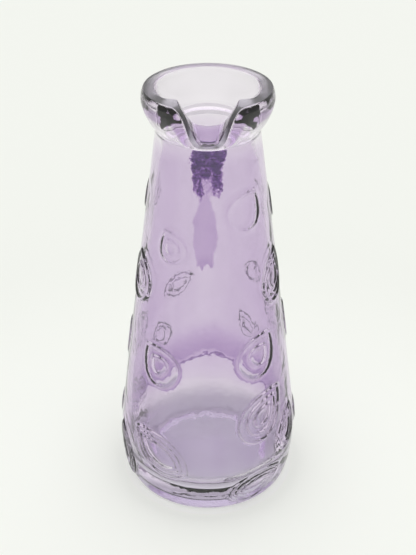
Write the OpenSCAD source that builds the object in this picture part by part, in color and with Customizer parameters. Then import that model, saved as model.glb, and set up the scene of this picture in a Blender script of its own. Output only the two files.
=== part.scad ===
// Pouring carafe in moulded glass: a tapered body with pressed medallions, a thick collar
// round the mouth and a pinched pouring lip. The glass is one piece, divided here where the
// mould divides it or where a different form starts.
// Millimetres. +Z is up, Z = 0 is the table, the Z axis is the vessel's axis, and the lip
// points to -Y. Angles round the vessel are counted from the lip, positive towards +X.

/* [Overall] */
// Height from the table to the flat face of the rim
total_h = 265; // [200:1:340]
// Largest outside diameter, at the top of the heel
body_d = 112; // [90:1:140]
// Outside diameter at the top of the tapered wall
wall_top_d = 62.2; // [56:0.1:76]
// Outside diameter of the ring that it stands on
foot_d = 94; // [74:1:104]

/* [Body] */
// Height of the rounded heel
heel_h = 39; // [30:1:55]
// Thickness of the tapered wall
wall_t = 4; // [2.5:0.1:6]
// How full the heel's curve is, where a smaller value is squarer
heel_round = 0.6; // [0.4:0.05:1]
// How much the tapered wall bows outward, where 1 is a straight cone
wall_bow = 1.05; // [1:0.01:1.3]

/* [Base] */
// Height of the ring that it stands on
foot_h = 3; // [2:0.5:5]
// Width of the flat face of that ring
foot_face_w = 5.5; // [4:0.5:8]
// Thickness of the floor above the ring
base_t = 8; // [5:0.5:12]
// Height that the floor is pushed up at its centre
punt_h = 4; // [1:0.5:6]
// Width of the turn between floor and wall, inside
floor_corner_w = 22; // [14:1:26]

/* [Mouth] */
// Outside diameter of the rim's flat face
rim_d = 71.8; // [66:0.2:84]
// Width of the rim's flat face
rim_face_w = 6.2; // [4:0.1:8]
// How far the collar bulges past the rim's flat face
collar_bulge = 1.5; // [0.5:0.1:3]
// Height of the collar above the bulge
collar_upper_h = 6.3; // [4:0.1:9]
// Height of the collar below the bulge
collar_lower_h = 16.3; // [12:0.1:20]
// Plain ring between the tapered wall and the collar's root
neck_h = 8; // [5:0.5:14]
// How far the neck draws in below the collar
neck_draw = 1.1; // [0.4:0.1:2]
// Straight stretch between the neck ring and the collar
collar_root_h = 4.4; // [3:0.1:6]
// Diameter where the funnel of the mouth ends
throat_d = 40.2; // [36:0.2:44]
// Depth of the funnel below the rim
funnel_h = 12.2; // [8:0.1:14]
// Depth of the step under the funnel
step_h = 3.1; // [2:0.1:5]
// How far that step draws in on each side
step_in = 1.6; // [0.8:0.1:2.5]
// Width of the narrow ledge at the bore
ledge_w = 1.2; // [0.6:0.1:2]
// Length of the narrowest part of the bore
bore_h = 2.6; // [1:0.1:4]
// Thickness of the wall where it meets the neck
neck_t = 6; // [4.5:0.1:8]

/* [Pouring lip] */
// Half of the angle that the lip's piece takes out of the collar
lip_half_angle = 60; // [50:1:70]
// How far the rim dips at the middle of the lip
lip_drop = 19.6; // [10:0.2:21]
// How far the outside reaches past the rim
lip_reach = 3.7; // [1:0.1:8]
// How much the rim thins at the nose of the lip
lip_thin = 3.2; // [1:0.1:4]
// How far the rim is pinched inward beside the lip
lip_pinch = 4; // [0:0.1:6]

/* [Relief] */
// Width of each pressed ridge at its foot
ridge_w = 2.2; // [1.4:0.1:3]
// Height of each pressed ridge
ridge_h = 0.8; // [0.5:0.1:2]
// Width of each mould seam
seam_w = 0.9; // [0.6:0.1:1.5]
// Height of each mould seam
seam_h = 0.25; // [0.15:0.05:0.5]

/* [Hidden] */
$fn = 96;
body_r = body_d / 2;
foot_r = foot_d / 2;
wall_top_r = wall_top_d / 2;
rim_r = rim_d / 2;
throat_r = throat_d / 2;
bulge_r = rim_r + collar_bulge;
bulge_z = total_h - collar_upper_h;
collar_root_z = bulge_z - collar_lower_h;
neck_top_z = collar_root_z - collar_root_h;
wall_top_z = neck_top_z - neck_h;
neck_r = wall_top_r - neck_draw;
floor_z = foot_h + base_t;
throat_z = total_h - funnel_h;
ledge_z = throat_z - step_h;
bore_r = throat_r - step_in - ledge_w;
bore_top_z = ledge_z - ledge_w;
bore_low_z = bore_top_z - bore_h;
base_r = body_r - wall_t - floor_corner_w;

// Share of the inside height of the heel that the turn from the floor takes
floor_corner_share = 0.8;
floor_corner_h = (heel_h - floor_z) * floor_corner_share;
// How far the foot ring's inner side slopes in, for each millimetre that it rises
foot_slope = 2;
// The stretch below the neck over which the wall thickens
thicken_h = 30;
// Fullness of the collar's underside, and how it runs out into the neck
under_full = 1.6;
under_end = 0.85;
// Hollow of the funnel, where 1 is a straight cone
funnel_hollow = 1.3;
// How the flare under the bore opens, where 1 is a straight cone
flare_full = 0.8;
// Sharpness of the lip's bend, outside and inside
lip_sharp_out = 6;
lip_sharp_in = 3.6;
// Angles at which the outside of the lip is half down, at the rim and how much wider at its root
lip_half_out = 18.7;
lip_half_out_more = 26;
// Angles at which the outside of the collar is no longer bent
lip_stop_out = 32;
lip_stop_out_more = 16;
// The same for the inside, which stops bending where the rim is pinched
lip_half_in = 18.2;
lip_half_in_more = 8;
pinch_at = 41.5;
pinch_spread = 9;
// Angles at which the lip reaches half as far forward, and no longer forward
reach_half = 18;
reach_stop = 40;
reach_sharp = 3;
// Fullness of the reach between root and rim
reach_full = 0.6;
// Depth under the funnel at which the bend of the inside starts
bend_depth = 2;
// A ridge's shoulder, as a share of its half width and of its height
shoulder_w = 2 / 3;
shoulder_h = 0.7;
// Angle on each side of a point over which a loop's direction is measured
aim_step = 2;
// Height over which the wall's slope is measured
slope_step = 1;
// Steps along each outline
heel_steps = 12;
foot_steps = 4;
wall_steps = 10;
floor_steps = 6;
under_steps = 8;
upper_steps = 3;
funnel_steps = 5;
flare_steps = 4;
lip_steps = 48;
ridge_steps = 26;
// How deep a ridge's foot is fused into the wall, so that its straight chords leave no gap
ridge_root = 0.12;
// Sharpness of a medallion's upper tip
tip_sharp = 0.7;
// Gap between two loops at the tips, as a multiple of the gap at the sides
tip_gap = 1.3;

// Heights on the wall are shares of the height of the tapered wall's top, so that the
// pattern keeps its place when the vessel is made taller or shorter.
// Gaps between loops are multiples of the ridge's width, so that loops never touch.
// name, angle from the lip, height share, length, width, lean, loops, gap, lower tip
medallions = [
    ["medallion_front_left_top", -33.5, 0.785, 20, 17.5, -30, 2, 1.91, 0.1],
    ["medallion_front_left_middle", -38, 0.45, 29, 25, -45, 2, 3, 0.1],
    ["medallion_front_left_low", -34, 0.183, 44, 25, -60, 3, 1.45, 0.4],
    ["medallion_front_right_top", 38, 0.88, 24, 22, 40, 1, 2.27, 0.1],
    ["medallion_front_right_middle", 40, 0.478, 31, 26, 40, 2, 3, 0.1],
    ["medallion_front_right_low", 40.5, 0.297, 39, 28, 46, 3, 2.09, 0.1],
    ["medallion_front_right_heel", 34, 0.076, 38, 20, 74, 3, 1.36, 0.3],
    ["medallion_right_high", 68, 0.668, 32, 22, 20, 3, 1.64, 0.2],
    ["medallion_right_low", 64, 0.2, 31, 18, 30, 3, 1.27, 0.3],
    ["medallion_right_middle", 104, 0.47, 32, 24, -28, 2, 2.73, 0.1],
    ["medallion_right_top", 104, 0.84, 22, 17, 24, 2, 1.91, 0.1],
    ["medallion_right_heel", 104, 0.15, 40, 24, -60, 3, 1.45, 0.3],
    ["medallion_left_high", -73, 0.66, 30, 26, -10, 2, 2.73, 0.2],
    ["medallion_left_heel", -70, 0.108, 36, 20, -20, 3, 1.27, 0.3],
    ["medallion_left_middle", -102, 0.42, 32, 24, 30, 2, 2.73, 0.1],
    ["medallion_left_top", -108, 0.86, 22, 17, -26, 2, 1.91, 0.1],
    ["medallion_back_right_middle", 146, 0.347, 22, 17, 25, 2, 1.82, 0.1],
    ["medallion_back_right_high", 136, 0.56, 15, 11, -12, 1, 1.55, 0.1],
    ["medallion_back_left_high", -154, 0.488, 22, 16, -60, 2, 1.64, 0.2],
    ["medallion_back_left_middle", -139, 0.322, 22, 16, 8, 2, 1.82, 0.1],
    ["medallion_back_left_low", -108, 0.17, 40, 24, 58, 3, 1.55, 0.3],
];

// A number between a and b, where t is 0 at a and 1 at b
function between(a, b, t) = a + (b - a) * t;

// Outside radius of the heel and the tapered wall at a height
function wall_r(z) =
    let (h = min(max(z, 0), wall_top_z))
    h < heel_h
        ? foot_r + (body_r - foot_r) * pow(sqrt(1 - pow(1 - h / heel_h, 2)), heel_round)
        : body_r - (body_r - wall_top_r)
            * pow((h - heel_h) / (wall_top_z - heel_h), wall_bow);

// Inside radius of the tapered wall, which thickens towards the neck
function wall_in_r(z) =
    let (t = max(0, (z - wall_top_z + thicken_h) / thicken_h))
    wall_r(z) - wall_t - (neck_t - wall_t) * t * t;

// Points of the outside between two heights, closer together at the start when grow is over 1
function outside(z0, z1, steps, grow = 1) =
    [for (i = [0 : steps]) let (z = between(z0, z1, pow(i / steps, grow))) [wall_r(z), z]];

// The turn between the wall and the floor, from the wall down to the base
function floor_corner() =
    [for (i = [0 : floor_steps])
        let (a = 90 * i / floor_steps)
        [base_r + floor_corner_w * cos(a), floor_z + floor_corner_h * (1 - sin(a))]];

// A low hill's outline from its foot at radius r to the axis, rising by h, with no edge at its foot
function hill(r, z, h) =
    [for (i = [0 : floor_steps])
        let (t = i / floor_steps)
        [r * (1 - t), z + h * pow(1 - pow(1 - t, 2), 2)]];

// The collar's closed section, each point marked 0 for the outside or 1 for the inside
function collar_section() = concat(
    [[neck_r, neck_top_z, 0]],
    [for (i = [0 : under_steps])
        let (s = 1 - i / under_steps)
        [neck_r + (bulge_r - neck_r) * pow(1 - pow(s, under_full), under_end),
         bulge_z - collar_lower_h * s, 0]],
    [for (i = [1 : upper_steps])
        let (s = i / upper_steps)
        [bulge_r - collar_bulge * s * s, bulge_z + collar_upper_h * s, 0]],
    [for (i = [0 : funnel_steps])
        let (s = 1 - i / funnel_steps)
        [throat_r + (rim_r - rim_face_w - throat_r) * pow(s, funnel_hollow),
         throat_z + funnel_h * s, 1]],
    [[throat_r - step_in, ledge_z, 1],
     [bore_r, bore_top_z, 1],
     [bore_r, bore_low_z, 1]],
    [for (i = [1 : flare_steps])
        let (s = i / flare_steps)
        [bore_r + (neck_r - neck_t - bore_r) * pow(s, flare_full),
         between(bore_low_z, neck_top_z, s), 1]]
);

// A smooth bell over the angle a: 1 at 0, half near half_a, and 0 from stop_a on
function bell(a, half_a, sharp, stop_a) =
    let (rest = 1 / (1 + pow(stop_a / half_a, sharp)))
    a >= stop_a ? 0 : (1 / (1 + pow(a / half_a, sharp)) - rest) / (1 - rest);

// How far up the lip's bend a section point lies, from 0 at its root to 1 at the rim
function lip_share(p) =
    let (root = p[2] == 0 ? collar_root_z : throat_z - bend_depth)
    min(max((p[1] - root) / (total_h - root), 0), 1);

// The dip of the rim, which is narrow at the rim's edges and wide at the bulge
function lip_dip(p, a) =
    let (s = lip_share(p), low = 1 - s)
    p[2] == 0
        ? lip_drop * s * bell(a, lip_half_out + lip_half_out_more * low, lip_sharp_out,
            lip_stop_out + lip_stop_out_more * low)
        : lip_drop * s * bell(a, lip_half_in + lip_half_in_more * low, lip_sharp_in, pinch_at);

// The reach of the lip outward, and the pinch of the rim beside it
function lip_push(p, a) =
    let (
        s = lip_share(p),
        reach = bell(a, reach_half, reach_sharp, reach_stop),
        pinch = exp(-pow((a - pinch_at) / pinch_spread, 2))
    )
    p[2] == 0
        ? lip_reach * pow(s, reach_full) * reach
        : (lip_reach + lip_thin) * s * reach - lip_pinch * s * pinch;

// One section point carried to the angle a from the middle of the lip
function lip_point(p, a) =
    let (
        away = abs(a),
        free = away >= lip_half_angle,
        r = p[0] + (free ? 0 : lip_push(p, away)),
        z = p[1] - (free ? 0 : lip_dip(p, away))
    )
    [r * sin(a), -r * cos(a), z];

// Half width of a medallion's outline at the angle t, for a width of 2
function almond_x(t, tail) =
    let (
        a = 1 + tip_sharp,
        b = 1 + tail,
        s = abs(sin(t / 2)),
        c = abs(cos(t / 2)),
        most = pow(a / (a + b), a / 2) * pow(b / (a + b), b / 2)
    )
    sign(sin(t)) * pow(s, a) * pow(c, b) / most;

// A point of a medallion's loop, moved out from the outline by side
function almond(t, length, width, tail, side) =
    let (
        p = [almond_x(t, tail) * width / 2, cos(t) * length / 2],
        ahead = [almond_x(t + aim_step, tail) * width / 2, cos(t + aim_step) * length / 2],
        behind = [almond_x(t - aim_step, tail) * width / 2, cos(t - aim_step) * length / 2],
        way = (ahead - behind) / norm(ahead - behind)
    )
    p + side * [way[1], -way[0]];

// A point on the wall: u along it, v up it, rise out of it, at a medallion's centre
function on_wall(angle, z0, u, v, rise) =
    let (
        half = slope_step / 2,
        slope = (wall_r(z0 + v + half) - wall_r(z0 + v - half)) / slope_step,
        out = [1, -slope] / norm([1, -slope]),
        r = wall_r(z0 + v) + rise * out[0],
        a = angle + u / wall_r(z0) * 180 / PI
    )
    [r * sin(a), -r * cos(a), z0 + v + rise * out[1]];

// The flat ring that it stands on, rounded outside and sloping in to the base inside
module foot_ring() {
    color("#9c86ad", 0.7)
        rotate_extrude()
            polygon(concat(
                outside(0, foot_h, foot_steps, 2),
                [[foot_r - foot_face_w - foot_slope * foot_h, foot_h], [foot_r - foot_face_w, 0]]
            ));
}

// The thick floor, pushed up in the middle on both faces
module base() {
    under = hill(base_r, foot_h, punt_h);
    top = hill(base_r, floor_z, punt_h);
    color("#a08cb0", 0.7)
        rotate_extrude()
            polygon(concat(under, [for (i = [len(top) - 1 : -1 : 0]) top[i]]));
}

// The rounded turn between the floor and the tapered wall
module heel() {
    color("#a893ba", 0.7)
        rotate_extrude()
            polygon(concat(
                outside(foot_h, heel_h, heel_steps),
                [[wall_in_r(heel_h), heel_h]],
                floor_corner(),
                [[base_r, foot_h]]
            ));
}

// The long tapered wall
module body_wall() {
    inside = [for (i = [wall_steps : -1 : 0])
        let (z = between(heel_h, wall_top_z, i / wall_steps)) [wall_in_r(z), z]];
    color("#c3b0d2", 0.6)
        rotate_extrude()
            polygon(concat(outside(heel_h, wall_top_z, wall_steps), inside));
}

// The short ring between the tapered wall and the collar
module neck_ring() {
    color("#b09cc2", 0.7)
        rotate_extrude()
            polygon([
                [wall_top_r, wall_top_z],
                [neck_r, neck_top_z],
                [neck_r - neck_t, neck_top_z],
                [wall_in_r(wall_top_z), wall_top_z],
            ]);
}

// The thick rounded band round the mouth, without the stretch that the lip takes
module collar() {
    color("#8b7a9c", 0.8)
        rotate([0, 0, lip_half_angle - 90])
            rotate_extrude(angle = 360 - 2 * lip_half_angle)
                polygon([for (p = collar_section()) [p[0], p[1]]]);
}

// The pinched lip: the collar's own section, bent down and out towards the front
module pouring_lip() {
    section = collar_section();
    n = len(section);
    points = [
        for (i = [0 : lip_steps])
            let (a = between(-lip_half_angle, lip_half_angle, i / lip_steps))
            for (p = section) lip_point(p, a)
    ];
    sides = [
        for (i = [0 : lip_steps - 1], k = [0 : n - 1])
            let (
                next = (k + 1) % n,
                low = i * n,
                high = low + n
            )
            each [[low + k, low + next, high + next], [low + k, high + next, high + k]]
    ];
    ends = [
        [for (k = [n - 1 : -1 : 0]) k],
        [for (k = [0 : n - 1]) lip_steps * n + k]
    ];
    color("#77688a", 0.85)
        polyhedron(points, concat(sides, ends), convexity = 6);
}

// A thin raised line up the wall, where the mould's halves met
module mould_seam(angle) {
    sweep = seam_w / body_r * 180 / PI;
    line = concat(outside(foot_h, heel_h, heel_steps), outside(heel_h, wall_top_z, wall_steps));
    n = len(line);
    color("#d5c6e0", 0.7)
        rotate([0, 0, angle - 90 - sweep / 2])
            rotate_extrude(angle = sweep)
                polygon(concat(
                    line,
                    [for (i = [n - 1 : -1 : 0]) [line[i][0] + seam_h, line[i][1]]]
                ));
}

// One closed ridge of a medallion, standing on the wall
module ridge(angle, z0, length, width, lean, tail) {
    profile = [
        [-ridge_w / 2, -ridge_root],
        [-ridge_w / 2 * shoulder_w, ridge_h * shoulder_h],
        [0, ridge_h],
        [ridge_w / 2 * shoulder_w, ridge_h * shoulder_h],
        [ridge_w / 2, -ridge_root]
    ];
    n = len(profile);
    points = [
        for (i = [0 : ridge_steps - 1], q = profile)
            let (
                p = almond(360 * i / ridge_steps, length, width, tail, q[0]),
                u = p[0] * cos(lean) + p[1] * sin(lean),
                v = p[1] * cos(lean) - p[0] * sin(lean)
            )
            on_wall(angle, z0, u, v, q[1])
    ];
    faces = [
        for (i = [0 : ridge_steps - 1], k = [0 : n - 1])
            let (
                low = i * n,
                high = ((i + 1) % ridge_steps) * n,
                next = (k + 1) % n
            )
            each [[low + k, high + next, low + next], [low + k, high + k, high + next]]
    ];
    polyhedron(points, faces, convexity = 8);
}

// A pressed medallion: nested ridges that follow the wall
module medallion(m) {
    z0 = m[2] * wall_top_z;
    gap = m[7] * ridge_w;
    color("#6f4f8f", 0.8)
        for (k = [0 : m[6] - 1])
            ridge(m[1], z0, m[3] - 2 * tip_gap * k * gap, m[4] - 2 * k * gap, m[5], m[8]);
}

foot_ring();
base();
heel();
body_wall();
neck_ring();
collar();
pouring_lip();
mould_seam(0);  // mould_seam_front
mould_seam(180);  // mould_seam_back
for (m = medallions)
    medallion(m);
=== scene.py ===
import math

import bmesh
import bpy
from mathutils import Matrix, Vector
from mathutils.geometry import delaunay_2d_cdt
from mathutils.kdtree import KDTree


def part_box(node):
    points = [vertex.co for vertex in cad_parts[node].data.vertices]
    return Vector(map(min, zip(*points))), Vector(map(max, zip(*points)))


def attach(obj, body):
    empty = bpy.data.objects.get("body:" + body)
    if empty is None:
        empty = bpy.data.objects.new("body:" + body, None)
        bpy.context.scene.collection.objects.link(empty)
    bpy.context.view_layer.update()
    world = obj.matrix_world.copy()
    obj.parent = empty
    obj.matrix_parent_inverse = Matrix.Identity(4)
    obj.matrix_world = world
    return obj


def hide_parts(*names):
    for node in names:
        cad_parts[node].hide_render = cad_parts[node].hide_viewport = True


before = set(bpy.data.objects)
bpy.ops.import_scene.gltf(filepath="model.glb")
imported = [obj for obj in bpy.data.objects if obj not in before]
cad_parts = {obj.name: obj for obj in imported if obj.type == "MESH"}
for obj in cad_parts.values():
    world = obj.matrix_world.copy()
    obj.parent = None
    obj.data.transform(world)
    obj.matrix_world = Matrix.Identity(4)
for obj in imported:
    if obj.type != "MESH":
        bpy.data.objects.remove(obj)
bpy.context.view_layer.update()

# ---- Tapered body, outline
# The body is one wall of pressed glass. It stands on a round heel and tapers, almost straight,
# to a short neck. The mould gives its outside, and the wall thickens as it nears the neck.
heel_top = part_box("heel")[1].z
wall_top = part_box("body_wall")[1].z
body_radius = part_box("body_wall")[1].x
wall_top_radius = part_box("neck_ring")[1].x
foot_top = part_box("foot_ring")[1].z
foot_radius = 0.047
heel_fullness = 0.6
wall_bow = 1.05
wall_thick = 0.004
neck_thick = 0.006
thicken_over = 0.030


def wall_radius(z):
    """Outside radius of the heel and the tapered wall at a height."""
    z = min(max(z, 0), wall_top)
    if z < heel_top:
        rise = math.sqrt(max(0, 1 - (1 - z / heel_top) ** 2))
        return foot_radius + (body_radius - foot_radius) * rise**heel_fullness
    share = (z - heel_top) / (wall_top - heel_top)
    return body_radius - (body_radius - wall_top_radius) * share**wall_bow


def wall_inner_radius(z):
    """Inside radius of the tapered wall."""
    share = max(0, (z - wall_top + thicken_over) / thicken_over)
    return wall_radius(z) - wall_thick - (neck_thick - wall_thick) * share**2


def round_vessel(angle, radius, z):
    """The point at an angle from the lip, in degrees, a radius and a height."""
    turn = math.radians(angle)
    return Vector((radius * math.sin(turn), -radius * math.cos(turn), z))


# ---- Medallions, centre lines
# Each medallion is one to three nested almond loops, pressed proud of the wall by grooves cut
# in the mould. They are scattered, and lean every way, as leaves blown against the wall do.
tip_sharpness = 0.7
tip_gap = 1.3
ridge_gap_unit = 0.0022
# angle from the lip, share of the wall's height, length, width, lean, loops, gap, lower tip
medallions = [
    (-33.5, 0.785, 0.020, 0.0175, -30, 2, 1.91, 0.1),
    (-38, 0.45, 0.029, 0.025, -45, 2, 3, 0.1),
    (-34, 0.183, 0.044, 0.025, -60, 3, 1.45, 0.4),
    (38, 0.88, 0.024, 0.022, 40, 1, 2.27, 0.1),
    (40, 0.478, 0.031, 0.026, 40, 2, 3, 0.1),
    (40.5, 0.297, 0.039, 0.028, 46, 3, 2.09, 0.1),
    (34, 0.076, 0.038, 0.020, 74, 3, 1.36, 0.3),
    (68, 0.668, 0.032, 0.022, 20, 3, 1.64, 0.2),
    (64, 0.2, 0.031, 0.018, 30, 3, 1.27, 0.3),
    (104, 0.47, 0.032, 0.024, -28, 2, 2.73, 0.1),
    (104, 0.84, 0.022, 0.017, 24, 2, 1.91, 0.1),
    (104, 0.15, 0.040, 0.024, -60, 3, 1.45, 0.3),
    (-73, 0.66, 0.030, 0.026, -10, 2, 2.73, 0.2),
    (-70, 0.108, 0.036, 0.020, -20, 3, 1.27, 0.3),
    (-102, 0.42, 0.032, 0.024, 30, 2, 2.73, 0.1),
    (-108, 0.86, 0.022, 0.017, -26, 2, 1.91, 0.1),
    (146, 0.347, 0.022, 0.017, 25, 2, 1.82, 0.1),
    (136, 0.56, 0.015, 0.011, -12, 1, 1.55, 0.1),
    (-154, 0.488, 0.022, 0.016, -60, 2, 1.64, 0.2),
    (-139, 0.322, 0.022, 0.016, 8, 2, 1.82, 0.1),
    (-108, 0.17, 0.040, 0.024, 58, 3, 1.55, 0.3),
]


def almond(turn, length, width, tail):
    """A point of an almond outline, turn in radians from its upper, pointed tip."""
    up, low = 1 + tip_sharpness, 1 + tail
    most = (up / (up + low)) ** (up / 2) * (low / (up + low)) ** (low / 2)
    side = abs(math.sin(turn / 2)) ** up * abs(math.cos(turn / 2)) ** low / most
    return Vector((math.copysign(side, math.sin(turn)) * width / 2, math.cos(turn) * length / 2))


def loops_of(medallion):
    """Each loop of a medallion as (length, width), the outer loop first."""
    _, _, length, width, _, loops, gap, _ = medallion
    step = 2 * gap * ridge_gap_unit
    return [(length - tip_gap * k * step, width - k * step) for k in range(loops)]


def loop_line(medallion, length, width, aside=0.0, spacing=0.0009):
    """Points of one loop as (angle, height), moved out of its centre line by aside."""
    angle, share, _, _, lean, _, _, tail = medallion
    middle = share * wall_top
    count = max(24, round(math.pi * (length + width) / 2 / spacing))
    tilt = math.radians(lean)
    line = []
    for i in range(count):
        turn = math.tau * (i + 0.5) / count
        ahead = almond(turn + 0.02, length, width, tail)
        behind = almond(turn - 0.02, length, width, tail)
        way = (ahead - behind).normalized()
        p = almond(turn, length, width, tail) + aside * Vector((way.y, -way.x))
        across = p.x * math.cos(tilt) + p.y * math.sin(tilt)
        up = p.y * math.cos(tilt) - p.x * math.sin(tilt)
        line.append((angle + math.degrees(across / wall_radius(middle)), middle + up))
    return line


def on_wall(angle, z):
    return round_vessel(angle, wall_radius(z), z)


def line_object(name, lines, closed=True):
    """One object of plain edges that holds every given line of points."""
    points, edges = [], []
    for line in lines:
        first = len(points)
        points += line
        last = len(line) if closed else len(line) - 1
        edges += [(first + i, first + (i + 1) % len(line)) for i in range(last)]
    mesh = bpy.data.meshes.new(name)
    mesh.from_pydata(points, edges, [])
    return bpy.data.objects.new(name, mesh)


ridge_lines = [
    [on_wall(*p) for p in loop_line(m, *size, spacing=0.0005)]
    for m in medallions
    for size in loops_of(m)
]
ridge_guide = line_object("ridge_guide", ridge_lines)

# ---- Mould seams, centre lines
# The mould opens in two halves, at the front and the back. Where the halves met, a hair of
# glass stands up the whole height of the wall.
seam_steps = 114
seam_heights = [
    foot_top + (wall_top - foot_top) * i / seam_steps for i in range(seam_steps + 1)
]
seam_guide = line_object(
    "seam_guide",
    [[on_wall(angle, z) for z in seam_heights] for angle in (0, 180)],
    closed=False,
)

# ---- Tapered body, outside surface
# The outside of the wall as a skin of triangles, close together along the ridges and the seams,
# where the glass turns sharply, and wide apart on the plain wall between them.
unrolled = 0.05
columns = [*range(0, 60, 1), *range(60, 300, 2), *range(300, 360, 1)]
ridge_rows = (0, 0.0003, 0.0006, 0.0009, 0.0012, 0.0016)
seam_rows = (0, 0.00025, 0.0005, 0.0009)
plain_step = 0.0026
row_share = 0.87
nearest_plain = 0.0021
nearest_seam = 0.0016
nearest_point = 0.00022
row_slack = 0.0001

ridge_tree = KDTree(sum(len(line) for line in ridge_lines))
for i, p in enumerate(p for line in ridge_lines for p in line):
    ridge_tree.insert(p, i)
ridge_tree.balance()


def to_ridge(angle, z):
    """Distance from a point of the wall to the nearest ridge's centre line."""
    return ridge_tree.find(on_wall(angle, z))[2]


def flat(angle, z):
    """A point of the wall on the unrolled sheet, which is cut along the lip's side."""
    return Vector((math.radians(angle % 360) * unrolled, z))


sheet = {}


def place(angle, z):
    """Adds a point to the unrolled sheet unless one is already as good as there."""
    p = flat(angle, z)
    key = (round(p.x / nearest_point), round(p.y / nearest_point))
    if not any((key[0] + i, key[1] + j) in sheet for i in (-1, 0, 1) for j in (-1, 0, 1)):
        sheet[key] = p


seam_spread = [math.degrees(row / body_radius) for row in seam_rows]
border = [flat(0, z) for z in seam_heights]
border += [Vector((math.tau * unrolled, z)) for z in seam_heights]
for angle in columns[1:]:
    border += [flat(angle, seam_heights[0]), flat(angle, seam_heights[-1])]
for z in seam_heights[1:-1]:
    place(180, z)
    for spread in seam_spread[1:]:
        for angle in (spread, 360 - spread, 180 - spread, 180 + spread):
            place(angle, z)
for row in ridge_rows:
    for m in medallions:
        for size in loops_of(m):
            for aside in {row, -row}:
                for angle, z in loop_line(m, *size, aside=aside):
                    if to_ridge(angle, z) > row - row_slack:
                        place(angle, z)
rows = round((wall_top - foot_top) / (plain_step * row_share))
for j in range(1, rows):
    z = foot_top + (wall_top - foot_top) * j / rows
    count = round(math.tau * wall_radius(z) / plain_step)
    for i in range(count):
        angle = 360 * (i + 0.5 * (j % 2)) / count
        seam_off = math.radians(min(abs(angle - a) for a in (0, 180, 360))) * wall_radius(z)
        if to_ridge(angle, z) > nearest_plain and seam_off > nearest_seam:
            place(angle, z)

corners, _, triangles, _, _, _ = delaunay_2d_cdt(
    border + list(sheet.values()), [], [], 0, 1e-9, False
)
skin = [on_wall(math.degrees(p.x / unrolled), p.y) for p in corners]

# ---- Neck, collar and mouth, section
# Above the wall a plain ring draws in to a thick rounded collar, whose top is ground flat.
# Inside, the mouth narrows as a funnel to a small step, where the plunger of the mould ended.
rim_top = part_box("collar")[1].z
bulge_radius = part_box("collar")[1].x
neck_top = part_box("neck_ring")[1].z
bulge_up = rim_top - 0.0063
root_up = bulge_up - 0.0163
neck_radius = wall_top_radius - 0.0011
rim_radius = bulge_radius - 0.0015
rim_face = 0.0062
throat_radius = 0.0201
throat_up = rim_top - 0.0122
ledge_up = throat_up - 0.0031
bore_radius = 0.0173
bore_up = ledge_up - 0.0012
bore_low = bore_up - 0.0026

collar_outside = [(wall_top_radius, wall_top), (neck_radius, neck_top), (neck_radius, root_up)]
for i in range(1, 15):
    s = 1 - i / 14
    swell = (1 - s**1.6) ** 0.85
    collar_outside.append(
        (neck_radius + (bulge_radius - neck_radius) * swell, bulge_up - (bulge_up - root_up) * s)
    )
for i in range(1, 6):
    s = i / 5
    collar_outside.append(
        (bulge_radius - (bulge_radius - rim_radius) * s * s, bulge_up + (rim_top - bulge_up) * s)
    )
mouth_inside = []
for i in range(9):
    s = 1 - i / 8
    mouth_inside.append(
        (
            throat_radius + (rim_radius - rim_face - throat_radius) * s**1.3,
            throat_up + (rim_top - throat_up) * s,
        )
    )
mouth_inside += [(throat_radius - 0.0016, ledge_up), (bore_radius, bore_up), (bore_radius, bore_low)]
for i in range(1, 8):
    s = i / 7
    mouth_inside.append(
        (
            bore_radius + (neck_radius - neck_thick - bore_radius) * s**0.8,
            bore_low + (neck_top - bore_low) * s,
        )
    )


sharp_from = math.radians(22)
most_of_side = 0.45


def softened(path, reach):
    """A path of (radius, height, side) points with its sharp corners rounded over by reach."""
    smooth = [path[0]]
    for before, corner, after in zip(path, path[1:], path[2:]):
        p = Vector(corner[:2])
        into, out = p - Vector(before[:2]), Vector(after[:2]) - p
        if into.length < 1e-7 or out.length < 1e-7 or into.angle(out) < sharp_from:
            smooth.append(corner)
            continue
        start = p - into.normalized() * min(reach, into.length * most_of_side)
        end = p + out.normalized() * min(reach, out.length * most_of_side)
        for t in (0, 0.33, 0.67, 1):
            q = start * (1 - t) ** 2 + p * 2 * t * (1 - t) + end * t * t
            smooth.append((q.x, q.y, corner[2]))
    return smooth + [path[-1]]


# ---- Pouring lip
# While the glass is still soft, a tool presses the front of the collar down and out, and pinches
# the rim beside it. The collar keeps its own section, so the rim's face runs down both flanks.
lip_reaches_to = 60
lip_drop = 0.0196
lip_reach = 0.0037
lip_thin = 0.0032
lip_pinch = 0.0040
# Where the bend fades out, in degrees from the lip. The ones named low widen it lower down.
reach_half, reach_sharp, reach_stop, reach_full = 18, 3, 40, 0.6
half_out, half_out_low, sharp_out = 18.7, 26, 6
half_in, half_in_low, sharp_in = 18.2, 8, 3.6
stop_out, stop_out_low = 32, 16
pinch_at, pinch_spread = 41.5, 9
bend_root_in = throat_up - 0.002


def bell(a, half, sharp, stop):
    """A smooth bell over the angle a: 1 at 0, about half at half, and 0 from stop on."""
    if a >= stop:
        return 0
    rest = 1 / (1 + (stop / half) ** sharp)
    return (1 / (1 + (a / half) ** sharp) - rest) / (1 - rest)


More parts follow.
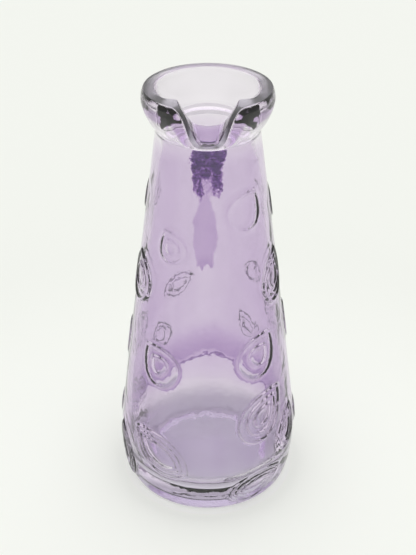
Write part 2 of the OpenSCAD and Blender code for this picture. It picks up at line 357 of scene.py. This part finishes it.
def bend_lip(radius, z, side, angle):
    """A point of the collar's section at an angle, carried along by the lip's bend."""
    away = min(angle % 360, 360 - angle % 360)
    if away >= lip_reaches_to:
        return round_vessel(angle, radius, z)
    root = root_up if side == "outside" else bend_root_in
    s = min(max((z - root) / (rim_top - root), 0), 1)
    reach = bell(away, reach_half, reach_sharp, reach_stop)
    if side == "outside":
        half = half_out + half_out_low * (1 - s)
        dip = lip_drop * s * bell(away, half, sharp_out, stop_out + stop_out_low * (1 - s))
        push = lip_reach * s**reach_full * reach
    else:
        half = half_in + half_in_low * (1 - s)
        dip = lip_drop * s * bell(away, half, sharp_in, pinch_at)
        pinch = math.exp(-(((away - pinch_at) / pinch_spread) ** 2))
        push = (lip_reach + lip_thin) * s * reach - lip_pinch * s * pinch
    return round_vessel(angle, radius + push, z - dip)


# The painted shade on the collar breaks where the lip's fold meets it.
fold_at = 34
fold_half = 2.5


def shade_of_collar(side, z, away):
    """How much painted shade a point of the collar gets: a band under the bulge, and a patch beside
    the lip.
    """
    if side != "outside" or z < root_up:
        return 0.0
    fold = min(1, abs(away - fold_at) / fold_half)
    if away > fold_at:
        low, high, soft = bulge_up - 0.0052, bulge_up + 0.0002, 0.0020
    else:
        low, high, soft = bulge_up - 0.0008, rim_top - 0.0012, 0.0008
        fold *= min(1, max(0, (away - 15) / 5))
    rise = min(1, max(0, (z - low + 0.0008) / 0.0008))
    fall = min(1, max(0, (high + soft - z) / soft))
    # The painted shade fades out between the sides and the back.
    behind = min(1, max(0, (115 - away) / 25))
    return fold * rise * fall * behind


# ---- Base and inside of the body
# The inside ends in a bowl with a low hill in the middle, and the glass under it is thick. The
# vessel stands on a narrow ring, whose inner side slopes up to the same hill from below.
base_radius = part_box("base")[1].x
base_under_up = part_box("base")[0].z
floor_up = 0.011
punt = 0.004
turn_width = 0.022
turn_height = 0.0224
foot_face = 0.0055
foot_slope = 2

inside = [(wall_inner_radius(wall_top - (wall_top - heel_top) * i / 40),
           wall_top - (wall_top - heel_top) * i / 40) for i in range(41)]
for i in range(17):
    turn = math.radians(90 * i / 16)
    inside.append((base_radius + turn_width * math.cos(turn),
                   floor_up + turn_height * (1 - math.sin(turn))))
hill = [(base_radius * (1 - i / 14), punt * (1 - (1 - i / 14) ** 2) ** 2) for i in range(15)]
inside += [(radius, floor_up + rise) for radius, rise in hill[1:]]
under = [(wall_radius(foot_top * (1 - (i / 6)) ** 2), foot_top * (1 - (i / 6)) ** 2)
         for i in range(7)]
under.append((foot_radius - foot_face, 0))
under.append((foot_radius - foot_face - foot_slope * base_under_up, base_under_up))
under += [(radius, base_under_up + rise) for radius, rise in hill]

# ---- The glass, as one closed piece
# Wall, base, collar and lip are one casting with no joint in it, so they are one closed mesh:
# the skin above, and rings of points that close it over the mouth, the inside and the base.
over_mouth = [(r, z, "outside") for r, z in collar_outside]
over_mouth += [(r, z, "inside") for r, z in mouth_inside + inside]
over_mouth = softened(over_mouth, 0.0007)
under_base = softened([(r, z, "base") for r, z in under], 0.0015)

points = list(skin)
faces = [tuple(t) for t in triangles]
rim_marks = [0.0] * len(skin)
collar_shade_marks = [0.0] * len(skin)
mouth_marks = [0.0] * len(skin)
for path in (over_mouth, under_base):
    for k, (radius, z, side) in enumerate(path):
        first = len(points)
        rim_marks += [float(side != "base" and z > rim_top - 0.0002)] * len(columns)
        for angle in columns:
            away = min(angle, 360 - angle)
            collar_shade_marks.append(shade_of_collar(side, z, away))
            mouth_marks.append(float(side == "inside" and bore_low < z < rim_top))
            if side == "base":
                points.append(round_vessel(angle, radius, z))
            else:
                points.append(bend_lip(radius, z, side, angle))
        if k:
            n = len(columns)
            faces += [(first - n + i, first - n + (i + 1) % n, first + (i + 1) % n, first + i)
                      for i in range(n)]
glass_mesh = bpy.data.meshes.new("carafe_glass")
glass_mesh.from_pydata(points, [], faces)
for mark, values in (
    ("ground_rim", rim_marks),
    ("painted_collar_shade", collar_shade_marks),
    ("mouth_tint", mouth_marks),
):
    glass_mesh.attributes.new(mark, "FLOAT", "POINT").data.foreach_set("value", values)
shape = bmesh.new()
shape.from_mesh(glass_mesh)
bmesh.ops.remove_doubles(shape, verts=shape.verts, dist=2e-5)
bmesh.ops.recalc_face_normals(shape, faces=shape.faces)
shape.to_mesh(glass_mesh)
open_edges = sum(1 for e in shape.edges if len(e.link_faces) != 2)
print("glass", len(shape.verts), "points", len(shape.faces), "faces", open_edges, "open edges")
shape.free()
carafe = bpy.data.objects.new("carafe_glass", glass_mesh)
bpy.context.scene.collection.objects.link(carafe)

# The glass is nearly clear, with a faint purple cast all through. Most of its colour is a thin
# amethyst stain on both faces of the wall, which thins below a wavy line. The thin dark line along
# that edge, and a dark patch at the front of the neck with a streak under it, are painted on the
# inside only.
glass = bpy.data.materials.new("amethyst_glass")
glass.use_nodes = True
shader = glass.node_tree.nodes["Principled BSDF"]
shader.inputs["IOR"].default_value = 1.5
shader.inputs["Transmission Weight"].default_value = 1
depth = glass.node_tree.nodes.new("ShaderNodeVolumeAbsorption")
depth.inputs["Color"].default_value = (0.40, 0.16, 0.50, 1)
depth.inputs["Density"].default_value = 4.5
glass.node_tree.links.new(depth.outputs[0], glass.node_tree.nodes["Material Output"].inputs["Volume"])


def add_to(tree, kind, operation=None, **wires):
    """Adds a node to a tree, and wires or sets its inputs, by name or as in_0, in_1 and so on."""
    made = tree.nodes.new(kind)
    if operation:
        made.operation = operation
    for key, value in wires.items():
        socket = made.inputs[int(key[3:])] if key.startswith("in_") else made.inputs[key]
        if isinstance(value, bpy.types.NodeSocket):
            tree.links.new(value, socket)
        else:
            socket.default_value = value
    return made


def smooth_ramp(tree, value, low, high, start, end):
    """A value turned smoothly from start to end as it goes from low to high."""
    limits = {"From Min": low, "From Max": high, "To Min": start, "To Max": end}
    made = add_to(tree, "ShaderNodeMapRange", Value=value, **limits)
    made.interpolation_type = "SMOOTHSTEP"
    return made.outputs[0]


def paint(kind, operation=None, **wires):
    return add_to(glass.node_tree, kind, operation, **wires)


def ramp(value, low, high, start=0.0, end=1.0):
    return smooth_ramp(glass.node_tree, value, low, high, start, end)


def times(a, b):
    return paint("ShaderNodeMath", "MULTIPLY", in_0=a, in_1=b).outputs[0]


def plus(a, b):
    return paint("ShaderNodeMath", "ADD", in_0=a, in_1=b).outputs[0]


def minus(a, b):
    return paint("ShaderNodeMath", "SUBTRACT", in_0=a, in_1=b).outputs[0]


def size_of(a):
    return paint("ShaderNodeMath", "ABSOLUTE", in_0=a).outputs[0]


here = paint("ShaderNodeTexCoord").outputs["Object"]
split = paint("ShaderNodeSeparateXYZ", in_0=here)
across, ahead, up = split.outputs[0], split.outputs[1], split.outputs[2]


def mark_of(name):
    """A mark that was stored on the mesh's points."""
    made = paint("ShaderNodeAttribute")
    made.attribute_name = name
    return made.outputs["Fac"]


inside_face = mark_of("inside_face")
ground_rim = mark_of("ground_rim")


def grain(scale, detail=2.0, stretch=(1, 1, 1)):
    """Noise with a mean of 0, in the piece's own space."""
    turned = paint("ShaderNodeVectorMath", "MULTIPLY", in_0=here, in_1=stretch)
    noise = paint("ShaderNodeTexNoise", Vector=turned.outputs[0], Scale=scale, Detail=detail)
    return plus(noise.outputs["Fac"], -0.5)


# Stain: even above the wavy line, streaked along the height and heavier towards its lower edge, with
# a thin dark line drawn at the edge itself. Painted shade makes it heavier again towards the left and
# the right sides, where the glass is seen edge on.
wavy_line = plus(times(grain(32, 1.0, (1, 1, 0)), 0.024), plus(times(ahead, 0.56), 0.020))
over_wavy_line = minus(up, wavy_line)
above_wavy_line = ramp(over_wavy_line, -0.0008, 0.0008, 0.3, 1.0)
wavy_line_dark = times(ramp(size_of(over_wavy_line), 0.0, 0.0022, 7.0, 0.0), plus(grain(120, 2.0), 0.9))
near_edge = ramp(over_wavy_line, 0.034, 0.0, 0.0, 2.2)
streaks = plus(times(grain(70, 3.0, (1, 1, 0.06)), 0.7), 1.0)
# Painted shade: more colour towards the left and the right sides.
side_shade = times(times(across, across), 330)
even = times(above_wavy_line, plus(plus(streaks, near_edge), side_shade))
# A dark patch under the lip, with two legs and torn, speckled edges.
front = ramp(ahead, -0.006, -0.014)
torn = plus(times(grain(230, 4.0), 0.0060), times(grain(1100, 2.0), 0.0022))
shifted = plus(across, times(grain(60, 2.0, (0, 0, 1)), 0.004))
torn_off = plus(size_of(shifted), torn)
torn_up = plus(up, times(grain(300, 4.0, (1, 1, 0.25)), 0.014))
pool_half = ramp(up, 0.205, 0.240, 0.0060, 0.0090)
past_pool = minus(torn_off, pool_half)
in_pool = times(ramp(past_pool, 0.0008, -0.0008), ramp(up, 0.2385, 0.2370))
between_legs = times(ramp(torn_off, 0.0034, 0.0016), ramp(torn_up, 0.2245, 0.2195))
solid_pool = times(
    times(in_pool, ramp(torn_up, 0.2110, 0.2150)),
    plus(times(between_legs, -0.8), 1.0),
)
speckle = plus(times(grain(800, 3.0), 34.0), times(grain(300, 3.0), 20.0))
pool = times(times(solid_pool, plus(speckle, ramp(up, 0.212, 0.236, 10.0, 14.0))), front)
# A dark streak below it: narrow at its head, wider lower down, with a darker rim at its foot.
run_half = plus(ramp(up, 0.212, 0.196, 0.0026, 0.0062), ramp(up, 0.186, 0.172, 0.0, -0.0020))
run_off = size_of(plus(shifted, 0.0016))
past_run = minus(plus(run_off, times(torn, 0.5)), run_half)
in_run = times(ramp(past_run, 0.0009, -0.0009), ramp(torn_up, 0.1705, 0.1730))
run_foot = ramp(torn_up, 0.1800, 0.1720, 0.0, 0.8)
run_strength = times(plus(plus(run_foot, 1.7), grain(90, 3.0)), front)
run = times(times(in_run, ramp(up, 0.216, 0.210)), run_strength)
# Inside, all of it together. Outside, the even coat alone, with its painted shade at the sides, and
# more of it than inside, between the foot and the collar.
stain_and_shade_inside = times(plus(plus(times(even, 0.46), wavy_line_dark), plus(pool, run)), inside_face)
outer_face = minus(1.0, inside_face)
on_body = times(ramp(up, 0.244, 0.228), ramp(up, 0.018, 0.045))
stain_and_shade_outside = times(times(outer_face, even), times(on_body, 0.72))
# Painted shade on the collar, and a tint on the inside of the mouth, faint all round and strongest at
# the lip.
collar_shade = times(mark_of("painted_collar_shade"), plus(times(grain(150, 2.0), 0.6), 2.3))
lip_shade = times(mark_of("mouth_tint"), ramp(ahead, -0.016, -0.026, 0.45, 2.2))
# All of it together: the stain, the dark patch and streak, the mouth's tint, and the painted shade at
# the sides and on the collar.
amount = plus(plus(stain_and_shade_inside, stain_and_shade_outside), plus(collar_shade, lip_shade))
stain_and_shade = paint("ShaderNodeMath", "MAXIMUM", in_0=amount, in_1=0.0).outputs[0]
# The ground rim, the foot and the floor are painted slate grey rather than purple. On the foot, the
# lowest part of the heel and the floor this is painted shade, for the dark surroundings that the
# clear base reflects and lets through. On the ground rim it is partly the ground face's own grey and
# partly painted shade, which deepens towards the front.
slate_and_painted_shade = plus(
    times(ground_rim, ramp(ahead, 0.020, -0.032, 0.3, 1.3)),
    times(outer_face, ramp(up, 0.026, 0.006, 0.0, 1.1)),
)
tint = paint("ShaderNodeCombineColor")
for socket, share, grey in zip(tint.inputs, (0.69, 0.575, 0.77), (0.57, 0.55, 0.64)):
    by_stain_and_shade = paint("ShaderNodeMath", "POWER", in_0=share, in_1=stain_and_shade).outputs[0]
    greyed = paint("ShaderNodeMath", "POWER", in_0=grey, in_1=slate_and_painted_shade).outputs[0]
    glass.node_tree.links.new(times(by_stain_and_shade, greyed), socket)
glass.node_tree.links.new(tint.outputs[0], shader.inputs["Base Color"])
# The inside of the wall is a little dull, and the rim's face was polished only lightly.
dull = plus(times(inside_face, 0.06), times(ground_rim, 0.30))
glass.node_tree.links.new(dull, shader.inputs["Roughness"])
# Slow waves all over, as blown glass has.
waves = plus(grain(38, 2.0, (1, 1, 0.35)), times(grain(140, 2.0), 0.15))
wavy = paint("ShaderNodeBump", Height=waves, Strength=0.5, Distance=0.0016)
glass.node_tree.links.new(wavy.outputs[0], shader.inputs["Normal"])

# ---- Relief
# The ridges and seams rise out of the skin. How far a point rises goes by its distance from the
# nearest centre line, so the loops follow the wall's curve and have soft feet.
relief = bpy.data.node_groups.new("pressed_relief", "GeometryNodeTree")
sockets = {}
for name, kind in (
    ("Geometry", "NodeSocketGeometry"),
    ("Ridge lines", "NodeSocketObject"),
    ("Seam lines", "NodeSocketObject"),
    ("Ridge width", "NodeSocketFloat"),
    ("Ridge height", "NodeSocketFloat"),
    ("Seam width", "NodeSocketFloat"),
    ("Seam height", "NodeSocketFloat"),
    ("Glass", "NodeSocketMaterial"),
):
    sockets[name] = relief.interface.new_socket(
        name, in_out="INPUT", socket_type=kind
    ).identifier
relief.interface.new_socket("Geometry", in_out="OUTPUT", socket_type="NodeSocketGeometry")
given = relief.nodes.new("NodeGroupInput")


def shape_with(kind, operation=None, **wires):
    return add_to(relief, kind, operation, **wires)


def rise_near(lines, width, height):
    """The height of the glass over a set of lines: a smooth bump that ends half a width away."""
    info = shape_with("GeometryNodeObjectInfo", Object=given.outputs[lines])
    near = shape_with("GeometryNodeProximity", Geometry=info.outputs["Geometry"])
    near.target_element = "EDGES"
    half = shape_with("ShaderNodeMath", "MULTIPLY", in_0=given.outputs[width], in_1=0.5)
    away = shape_with("ShaderNodeMath", "DIVIDE", in_0=near.outputs["Distance"], in_1=half.outputs[0])
    away.use_clamp = True
    square = shape_with("ShaderNodeMath", "MULTIPLY", in_0=away.outputs[0], in_1=away.outputs[0])
    fall = shape_with("ShaderNodeMath", "SUBTRACT", in_0=1.0, in_1=square.outputs[0])
    bump = shape_with("ShaderNodeMath", "POWER", in_0=fall.outputs[0], in_1=2.0)
    rise = shape_with("ShaderNodeMath", "MULTIPLY", in_0=bump.outputs[0], in_1=given.outputs[height])
    return rise.outputs[0]


total = shape_with(
    "ShaderNodeMath",
    "MAXIMUM",
    in_0=rise_near("Ridge lines", "Ridge width", "Ridge height"),
    in_1=rise_near("Seam lines", "Seam width", "Seam height"),
)
normal = shape_with("GeometryNodeInputNormal")
lift = shape_with("ShaderNodeVectorMath", "SCALE", in_0=normal.outputs[0])
relief.links.new(total.outputs[0], lift.inputs["Scale"])
pressed = shape_with(
    "GeometryNodeSetPosition", Geometry=given.outputs["Geometry"], Offset=lift.outputs[0]
)
smooth = shape_with("GeometryNodeSetShadeSmooth", Geometry=pressed.outputs[0])
real = shape_with("GeometryNodeRealizeInstances", Geometry=smooth.outputs[0])
finish = shape_with(
    "GeometryNodeSetMaterial", Geometry=real.outputs[0], Material=given.outputs["Glass"]
)
result = relief.nodes.new("NodeGroupOutput")
relief.links.new(finish.outputs[0], result.inputs[0])

press = carafe.modifiers.new("pressed_relief", "NODES")
press.node_group = relief
press[sockets["Ridge lines"]] = ridge_guide
press[sockets["Seam lines"]] = seam_guide
press[sockets["Glass"]] = glass
for name, size in (("Ridge width", 0.0036), ("Ridge height", 0.0010),
                   ("Seam width", 0.0016), ("Seam height", 0.00008)):
    press[sockets[name]] = size
bpy.context.view_layer.update()
carafe_solid = bpy.data.meshes.new_from_object(
    carafe.evaluated_get(bpy.context.evaluated_depsgraph_get())
)
carafe.modifiers.clear()
carafe.data = carafe_solid
# The inside of the wall is marked only now, because the points have moved. The bowl of the
# floor is left out of it.
inner_from = 0.030
inner = carafe_solid.attributes.new("inside_face", "FLOAT", "POINT")
inner.data.foreach_set(
    "value",
    [
        float(
            inner_from < v.co.z < bore_low
            and math.hypot(v.co.x, v.co.y) < wall_radius(v.co.z) - wall_thick / 2
        )
        for v in carafe_solid.vertices
    ],
)
bpy.data.objects.remove(ridge_guide)
bpy.data.objects.remove(seam_guide)

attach(carafe, "root")
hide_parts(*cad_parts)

# ---- Table
# A plain pale light table, six metres wide, which runs far back. It lies a hair below the foot, and
# glows softly under and round it: painted light that stands in for the light the glass lets through
# onto it.
drop = -0.0003
table = bpy.data.meshes.new("table_top")
table.from_pydata([(-3, -3, drop), (3, -3, drop), (3, 5, drop), (-3, 5, drop)], [], [(0, 1, 2, 3)])
table_top = bpy.data.objects.new("table_top", table)
bpy.context.scene.collection.objects.link(table_top)
paper = bpy.data.materials.new("white_paper_with_painted_glow")
paper.use_nodes = True
paper_shader = paper.node_tree.nodes["Principled BSDF"]
paper_shader.inputs["Base Color"].default_value = (0.84, 0.86, 0.82, 1)
paper_shader.inputs["Roughness"].default_value = 0.9
# Painted light: the table glows, strongest under the glass and fading out round it.
paper_shader.inputs["Emission Color"].default_value = (1, 1, 0.97, 1)
spot = add_to(paper.node_tree, "ShaderNodeTexCoord")
reach = add_to(paper.node_tree, "ShaderNodeVectorMath", "LENGTH", in_0=spot.outputs["Object"])
scaled = add_to(paper.node_tree, "ShaderNodeMath", "MULTIPLY", in_0=reach.outputs["Value"])
scaled.inputs[1].default_value = 3.3
glow = add_to(paper.node_tree, "ShaderNodeValToRGB", Fac=scaled.outputs[0])
glow.color_ramp.interpolation = "EASE"
glow.color_ramp.elements.remove(glow.color_ramp.elements[1])
glow.color_ramp.elements[0].color = (0.62, 0.62, 0.62, 1)
for place_on, strength in ((0.12, 0.62), (0.20, 0.10), (1.0, 0.0)):
    stop = glow.color_ramp.elements.new(place_on)
    stop.color = (strength, strength, strength, 1)
paper.node_tree.links.new(glow.outputs["Color"], paper_shader.inputs["Emission Strength"])
table.materials.append(paper)

# ---- Light
# A bright ceiling over the table, and a dimmer belt of wall all round at the height of the glass,
# dimmest at the left and the right.
room = bpy.data.worlds.new("pale_room")
room.use_nodes = True
backdrop = room.node_tree.nodes["Background"]
backdrop.inputs["Color"].default_value = (1, 1, 0.98, 1)
direction = add_to(room.node_tree, "ShaderNodeTexCoord").outputs["Generated"]
way = add_to(room.node_tree, "ShaderNodeSeparateXYZ", in_0=direction).outputs
to_side = add_to(room.node_tree, "ShaderNodeMath", "ABSOLUTE", in_0=way[0]).outputs[0]
belt = smooth_ramp(room.node_tree, way[2], 0.25, 0.75, 0.70, 1.28)
sides = smooth_ramp(room.node_tree, to_side, 0.45, 0.95, 1.0, 0.6)
both = add_to(room.node_tree, "ShaderNodeMath", "MULTIPLY", in_0=belt, in_1=sides)
room.node_tree.links.new(both.outputs[0], backdrop.inputs["Strength"])
bpy.context.scene.world = room
bpy.context.scene.view_settings.view_transform = "Standard"
bpy.context.scene.view_settings.gamma = 1.15
bpy.context.scene.cycles.max_bounces = 32
bpy.context.scene.cycles.transmission_bounces = 32

# ---- Camera
# It stands a little over half a metre in front of the lip, higher than the rim, and looks
# down into the mouth through a long lens.
look_down = math.radians(31.55)
lens = bpy.data.cameras.new("camera")
lens.sensor_fit = "HORIZONTAL"
lens.sensor_width = 36
lens.lens = 95.1923
camera = bpy.data.objects.new("camera", lens)
camera.location = (0, -0.570, 0.4915)
camera.rotation_euler = (math.radians(90) - look_down, 0, 0)
bpy.context.scene.collection.objects.link(camera)
bpy.context.scene.camera = camera
